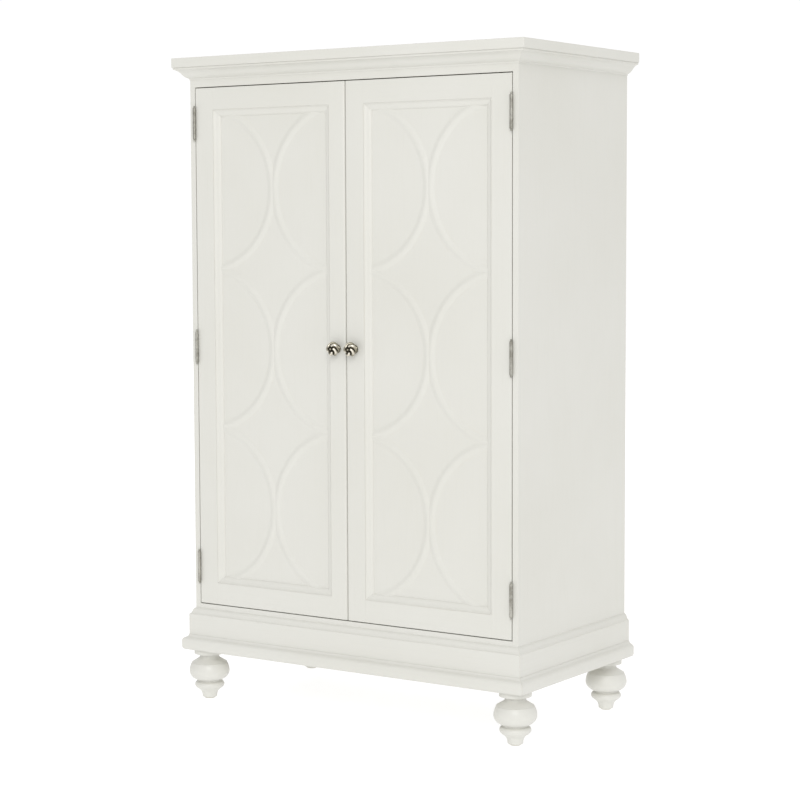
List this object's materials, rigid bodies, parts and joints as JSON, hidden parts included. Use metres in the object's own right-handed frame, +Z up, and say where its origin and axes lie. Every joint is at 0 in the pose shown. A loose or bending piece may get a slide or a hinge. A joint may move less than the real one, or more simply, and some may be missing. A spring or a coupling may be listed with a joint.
{
  "type": "armoire",
  "caption": "Tall painted armoire with a stepped crown, moulded plinth, turned bun feet and inset panel doors with a circle lattice, on butt hinges.",
  "frame": {"origin": "on the floor under the middle of the width and depth", "axes": "+Z up, doors face -Y, +X to the right as seen from the front"},
  "size_m": [1.04, 0.562, 1.65],
  "materials": {
    "painted_wood": "satin antique white paint",
    "interior_paint": "satin white paint inside the case",
    "bare_wood": "bare board at the back",
    "hinge_nickel": "aged nickel plate",
    "knob_metal": "antique nickel over brass, darkened in the grooves",
    "rod_steel": "satin chrome tube",
    "fastener_steel": "zinc plated",
    "catch_plastic": "moulded white plastic",
    "glide_plastic": "moulded nylon"
  },
  "bodies": {
    "cabinet": {"top_board": "painted_wood", "crown_front": "painted_wood", "crown_left": "painted_wood", "crown_right": "painted_wood", "side_panel_left": "painted_wood", "side_panel_right": "painted_wood", "front_top_rail": "painted_wood", "front_bottom_rail": "painted_wood", "top_panel": "interior_paint", "bottom_panel": "interior_paint", "back_panel": "bare_wood", "back_top_rail": "bare_wood", "back_bottom_rail": "bare_wood", "base_frame_front": "painted_wood", "base_frame_left": "painted_wood", "base_frame_right": "painted_wood", "base_frame_back": "painted_wood", "plinth_front": "painted_wood", "plinth_left": "painted_wood", "plinth_right": "painted_wood", "foot_front_left": "painted_wood", "foot_front_right": "painted_wood", "foot_back_left": "painted_wood", "foot_back_right": "painted_wood", "foot_bolts": "fastener_steel", "foot_glides": "glide_plastic", "hat_shelf": "interior_paint", "shelf_cleats": "interior_paint", "hanging_rod": "rod_steel", "rod_sockets": "rod_steel", "interior_screws": "fastener_steel", "magnetic_catches": "catch_plastic", "frame_hinge_leaves": "hinge_nickel", "hinge_pins": "hinge_nickel", "frame_hinge_screws": "hinge_nickel"},
    "left_door": {"left_door_hinge_stile": "painted_wood", "left_door_meeting_stile": "painted_wood", "left_door_top_rail": "painted_wood", "left_door_bottom_rail": "painted_wood", "left_door_panel": "painted_wood", "left_door_panel_moulding": "painted_wood", "left_door_lattice": "painted_wood", "left_door_knob": "knob_metal", "left_door_knob_screw": "fastener_steel", "left_door_hinge_leaves": "hinge_nickel", "left_door_hinge_screws": "hinge_nickel", "left_door_strike_plate": "fastener_steel"},
    "right_door": {"right_door_hinge_stile": "painted_wood", "right_door_meeting_stile": "painted_wood", "right_door_top_rail": "painted_wood", "right_door_bottom_rail": "painted_wood", "right_door_panel": "painted_wood", "right_door_panel_moulding": "painted_wood", "right_door_lattice": "painted_wood", "right_door_knob": "knob_metal", "right_door_knob_screw": "fastener_steel", "right_door_hinge_leaves": "hinge_nickel", "right_door_hinge_screws": "hinge_nickel", "right_door_strike_plate": "fastener_steel"}
  },
  "joints": [
    {"name": "left_door_hinge", "type": "hinge", "parent": "cabinet", "child": "left_door", "pos_m": [-0.46975, -0.252, 0.917], "axis": [0, 0, -1], "range_deg": [0, 180]},
    {"name": "right_door_hinge", "type": "hinge", "parent": "cabinet", "child": "right_door", "pos_m": [0.46975, -0.252, 0.917], "axis": [0, 0, 1], "range_deg": [0, 180]}
  ]
}
